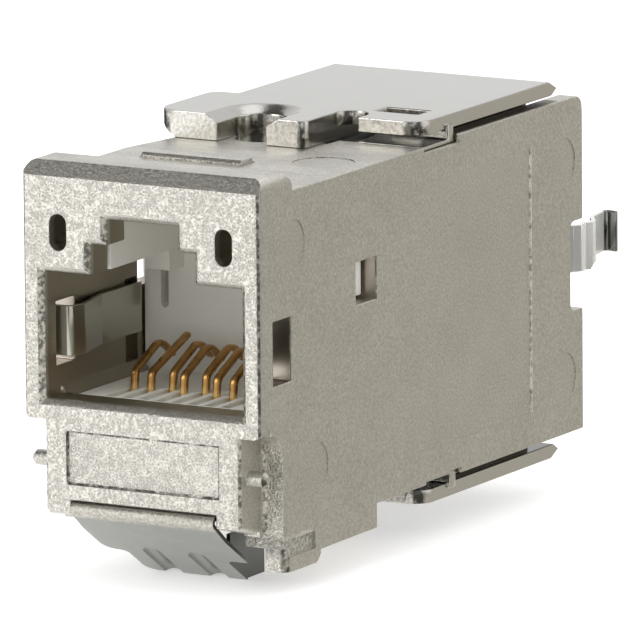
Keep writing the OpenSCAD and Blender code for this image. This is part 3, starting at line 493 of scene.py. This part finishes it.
breakRules = {
    "weld": 0.0005,  # corners this close are one, in millimetres
    "level": 0.3,  # faces that differ by fewer degrees are one
    "room": 2.2,  # the next three are in widths of the broken edge: how far its faces have to run,
    "stray": 0.6,  # how far the break may leave the solid,
    "near": 1.5,  # and how near to such a place an edge has to stay sharp
    "tries": 14,
    "onFace": 0.001,  # a face within this many millimetres of the solid lies on it,
    "over": -0.5,  # and is turned over where their directions agree less than this
}


def faceReach(mesh, edge, face):  # how far a face runs from one of its edges
    start = mesh.vertices[edge.vertices[0]].co
    along = (mesh.vertices[edge.vertices[1]].co - start).normalized()
    spans = [mesh.vertices[index].co - start for index in face.vertices]
    return max((span - along * span.dot(along)).length for span in spans)


def brokenEdges(mesh, look):  # edges sharp enough, with room for the break on both sides
    faces = {}
    for face in mesh.polygons:
        for key in face.edge_keys:
            faces.setdefault(key, []).append(face)
    chosen = set()
    for edge in mesh.edges:
        pair = faces[edge.key]
        if len(pair) == 2 and pair[0].normal.angle(pair[1].normal, 0) > math.radians(look["angle"]):
            if min(faceReach(mesh, edge, face) for face in pair) > breakRules["room"] * look["edge"] * mm:
                chosen.add(edge.index)
    return chosen


def strayPlaces(piece, surface, limit):  # corners of faces that left the solid or turned over
    places = []
    piece.data.calc_loop_triangles()
    for face in piece.data.loop_triangles:  # the middle of a wide face may be a hole, a triangle's isn't
        corners = [piece.data.vertices[index].co for index in face.vertices]
        gaps = [surface.find_nearest(corner)[3] for corner in corners]
        _, normal, _, gap = surface.find_nearest(sum(corners, Vector()) / 3)
        over = gap < breakRules["onFace"] * mm and normal.dot(face.normal) < breakRules["over"]
        if max(gaps) > limit or gap > limit or over:
            places += corners
    return places


def touches(mesh, edge, places, near):  # does any of the places lie by this edge?
    start, end = (mesh.vertices[index].co for index in edge.vertices)
    along = end - start
    for place in places:
        share = min(1.0, max(0.0, (place - start).dot(along) / along.length_squared))
        if (start + along * share - place).length < near:
            return True
    return False


def breakEdges(piece, look):  # bevels the chosen edges; where that goes wrong the edges stay sharp
    solid = piece.data
    corners = [corner.co for corner in solid.vertices]
    surface = BVHTree.FromPolygons(corners, [face.vertices for face in solid.polygons])
    width = look["edge"] * mm
    chosen = brokenEdges(solid, look)
    for attempt in range(breakRules["tries"]):
        mesh = solid.copy()
        weights = mesh.attributes.new("bevel_weight_edge", "FLOAT", "EDGE")
        for index in chosen:
            weights.data[index].value = 1.0
        piece.data = mesh
        edges = piece.modifiers.new("brokenEdges", "BEVEL")
        edges.width = width
        edges.segments = look["steps"]
        edges.limit_method = "WEIGHT"
        edges.use_clamp_overlap = False
        bpy.ops.object.modifier_apply(modifier=edges.name)
        places = strayPlaces(piece, surface, breakRules["stray"] * width)
        near = breakRules["near"] * width
        wrong = {index for index in chosen if touches(solid, solid.edges[index], places, near)}
        if not wrong:
            break
        chosen -= wrong
    print("broke", len(chosen), "edges of", look["name"], "in", attempt + 1, "tries")


def softCopy(nodeName, look):  # the CAD solid with its edges broken, as a caster or stamper leaves them
    piece = bpy.data.objects.new(look["name"], frame["nodes"][nodeName].data.copy())
    bpy.context.scene.collection.objects.link(piece)
    pick(piece)
    bpy.ops.mesh.customdata_custom_splitnormals_clear()
    bpy.ops.object.mode_set(mode="EDIT")
    bpy.ops.mesh.select_all(action="SELECT")
    bpy.ops.mesh.remove_doubles(threshold=breakRules["weld"] * mm)
    bpy.ops.mesh.dissolve_limited(angle_limit=math.radians(breakRules["level"]))
    bpy.ops.object.mode_set(mode="OBJECT")
    breakEdges(piece, look)
    low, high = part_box(nodeName)
    for corner in piece.data.vertices:  # nothing stands outside the solid's own box
        corner.co = [min(max(value, least), most) for value, least, most in zip(corner.co, low, high)]
    bpy.ops.object.shade_smooth_by_angle(angle=math.radians(look["smooth"]))
    level = piece.modifiers.new("flatFaces", "WEIGHTED_NORMAL")
    level.keep_sharp = True
    bpy.ops.object.modifier_apply(modifier=level.name)
    dress(piece, nodeName)
    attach(piece, look["body"])
    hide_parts(nodeName)


for nodeName, piece in frame["nodes"].items():
    dress(piece, nodeName)

# edge is the width of the break in millimetres, angle and smooth are in degrees
softPieces = {
    "housing": {
        "name": "castHousing", "body": "body", "edge": 0.09, "steps": 2, "angle": 28, "smooth": 35,
    },
    "top_cover": {
        "name": "upperCover", "body": "body", "edge": 0.08, "steps": 2, "angle": 28, "smooth": 35,
    },
    "bottom_cover": {
        "name": "lowerCover", "body": "body", "edge": 0.08, "steps": 2, "angle": 28, "smooth": 35,
    },
    "contact_carrier": {
        "name": "carrier", "body": "body", "edge": 0.05, "steps": 2, "angle": 28, "smooth": 35,
    },
    "wire_manager": {
        "name": "wireManager", "body": "body", "edge": 0.15, "steps": 3, "angle": 28, "smooth": 35,
    },
    "panel_latch_spring": {
        "name": "latchSheet", "body": "latch", "edge": 0.04, "steps": 2, "angle": 40, "smooth": 35,
    },
}
for side in ("left", "right"):
    softPieces["cable_shield_spring_" + side] = {
        "name": "cableStrip" + side.capitalize(), "body": "body",
        "edge": 0.08, "steps": 3, "angle": 10, "smooth": 45,
    }
    softPieces["port_shield_spring_" + side] = {
        "name": "portSpring" + side.capitalize(), "body": "body",
        "edge": 0.03, "steps": 2, "angle": 60, "smooth": 45,
    }
for number in range(1, 9):
    softPieces["plug_contact_%d" % number] = {
        "name": "contactWire%d" % number, "body": "body",
        "edge": 0.13, "steps": 3, "angle": 60, "smooth": 40,
    }
for nodeName, look in softPieces.items():
    softCopy(nodeName, look)
print("softened", len(softPieces), "pieces")


def pureMask(tree):  # 1 for what the eye sees, straight on, in metal or through glass
    rays = tree.nodes.new("ShaderNodeLightPath")
    camera = Wire(tree, rays.outputs["Is Camera Ray"])
    glossy = Wire(tree, rays.outputs["Is Glossy Ray"])
    through = Wire(tree, rays.outputs["Is Transmission Ray"])
    return (camera + glossy + through).clamped()


white = (1, 1, 1, 1)
black = (0, 0, 0, 1)
wallTone = (0.52, 0.502, 0.452)  # what the right wall mirrors
studio = {
    "worldLight": 0.9,  # what the sky gives as light; where it is seen it is white
    "floor": {
        "size": 4.0, "color": 0.9, "rough": 0.9,
        "gap": 0.02,  # millimetres below the jack
        "lift": 0.42,  # share of the white that needs no light
    },
    "aim": (0, 18, 0),  # where the lamps point, in millimetres
    "lamps": {  # metres from there
        "keyLamp": {"from": (-0.55, -0.75, 0.5), "size": 0.5, "watts": 2.4},
        "topLamp": {"from": (0.1, 0.3, 0.9), "size": 0.6, "watts": 0.7},
    },
    "cards": {  # only the metal mirrors them; places and sizes are in metres
        "sideCard": {
            "at": (0.5, 0.9, 0.1), "faces": (-0.5, -0.86, 0),
            "size": (1.0, 0.7), "color": wallTone,
        },
        "sideFloorCard": {
            "at": (0.258, 0.25, -0.0132), "faces": (0, 0, 1),
            "size": (0.5, 0.9), "color": wallTone,
        },
        "overheadCard": {
            "at": (-0.75, -0.6, 1.3), "faces": (0.46, 0.37, -0.8),
            "size": (3.0, 2.2), "color": (0.1, 0.1, 0.09),
        },
        "frontCard": {
            "at": (0.25, -1.2, 0.3), "faces": (-0.2, 1, 0),
            "size": (0.5, 1.2), "color": (0.08, 0.08, 0.07),
        },
        "frontFloorCard": {
            "at": (0.06, -0.45, -0.0133), "faces": (0, 0, 1),
            "size": (0.12, 0.7), "color": (0.08, 0.08, 0.07),
        },
        "rightFloorCard": {
            "at": (0.085, -0.005, -0.0129), "faces": (0, 0, 1),
            "size": (0.08, 0.1), "color": (0.04, 0.04, 0.035),
        },
        "leftFloorCard": {
            "at": (-0.25, 0.14, -0.0132), "faces": (0, 0, 1),
            "size": (0.46, 0.2), "color": (0.1, 0.1, 0.09),
        },
    },
}


def makeCard(name, card):
    bpy.ops.object.select_all(action="DESELECT")
    bpy.ops.mesh.primitive_plane_add(size=1.0)
    made = bpy.context.active_object
    made.name = name
    made.scale = card["size"] + (1,)
    made.location = card["at"]
    made.rotation_euler = Vector(card["faces"]).to_track_quat("Z", "Y").to_euler()
    paint, shader = plainMaterial(name)
    plug(shader, color=black, rough=1.0, specular=0.0, glow=shade(card["color"]), glowStrength=1.0)
    made.data.materials.append(paint)
    made.visible_camera = False
    made.visible_diffuse = False
    made.visible_transmission = False
    made.visible_shadow = False


def makeSky():
    world = bpy.data.worlds.new("studio")
    bpy.context.scene.world = world
    world.use_nodes = True
    sky = world.node_tree.nodes["Background"]
    seen = pureMask(world.node_tree)
    sky.inputs["Color"].default_value = white
    strength = seen * (1 - studio["worldLight"]) + studio["worldLight"]
    world.node_tree.links.new(strength.socket, sky.inputs["Strength"])


def makeFloor():
    look = studio["floor"]
    bpy.ops.object.select_all(action="DESELECT")
    level = cadBox[0][2] - look["gap"] * mm
    bpy.ops.mesh.primitive_plane_add(size=look["size"], location=(0, 0, level))
    floor = bpy.context.active_object
    floor.name = "floor"
    paint, shader = plainMaterial("paleFloor")
    lift = pureMask(paint.node_tree).blend(black, shade([look["lift"]] * 3))
    plug(shader, color=shade([look["color"]] * 3), rough=look["rough"], specular=0.0)
    plug(shader, glow=lift, glowStrength=1.0)
    floor.data.materials.append(paint)


def makeLamp(name, lamp):
    light = bpy.data.lights.new(name, "AREA")
    light.shape = "DISK"
    light.size = lamp["size"]
    light.energy = lamp["watts"]
    holder = bpy.data.objects.new(name, light)
    bpy.context.scene.collection.objects.link(holder)
    holder.location = Vector(studio["aim"]) * mm + Vector(lamp["from"])
    holder.rotation_euler = (-Vector(lamp["from"])).to_track_quat("-Z", "Y").to_euler()


shot = {  # lengths in millimetres, angles in degrees
    "target": (0, 19.403, -2.005),
    "azimuth": 29.518,
    "elevation": 10.797,
    "roll": 0.464,
    "distance": 700.0,
    "field": 34.91,  # seen across the picture at the target
    "sensor": 36.0,
}


def makeCamera():
    lens = bpy.data.cameras.new("photoCamera")
    lens.sensor_width = shot["sensor"]
    lens.lens = shot["sensor"] * shot["distance"] / shot["field"]
    camera = bpy.data.objects.new("photoCamera", lens)
    bpy.context.scene.collection.objects.link(camera)
    turn = Matrix.Rotation(math.radians(shot["azimuth"]), 4, "Z")
    lift = Matrix.Rotation(math.radians(90 - shot["elevation"]), 4, "X")
    roll = Matrix.Rotation(math.radians(-shot["roll"]), 4, "Z")
    away = Matrix.Translation((0, 0, shot["distance"] * mm))
    camera.matrix_world = Matrix.Translation(Vector(shot["target"]) * mm) @ turn @ lift @ away @ roll
    bpy.context.scene.camera = camera


makeSky()
makeFloor()
for name, lamp in studio["lamps"].items():
    makeLamp(name, lamp)
for name, card in studio["cards"].items():
    makeCard(name, card)
makeCamera()
bpy.context.scene.view_settings.view_transform = "Standard"
print("studio and camera set")
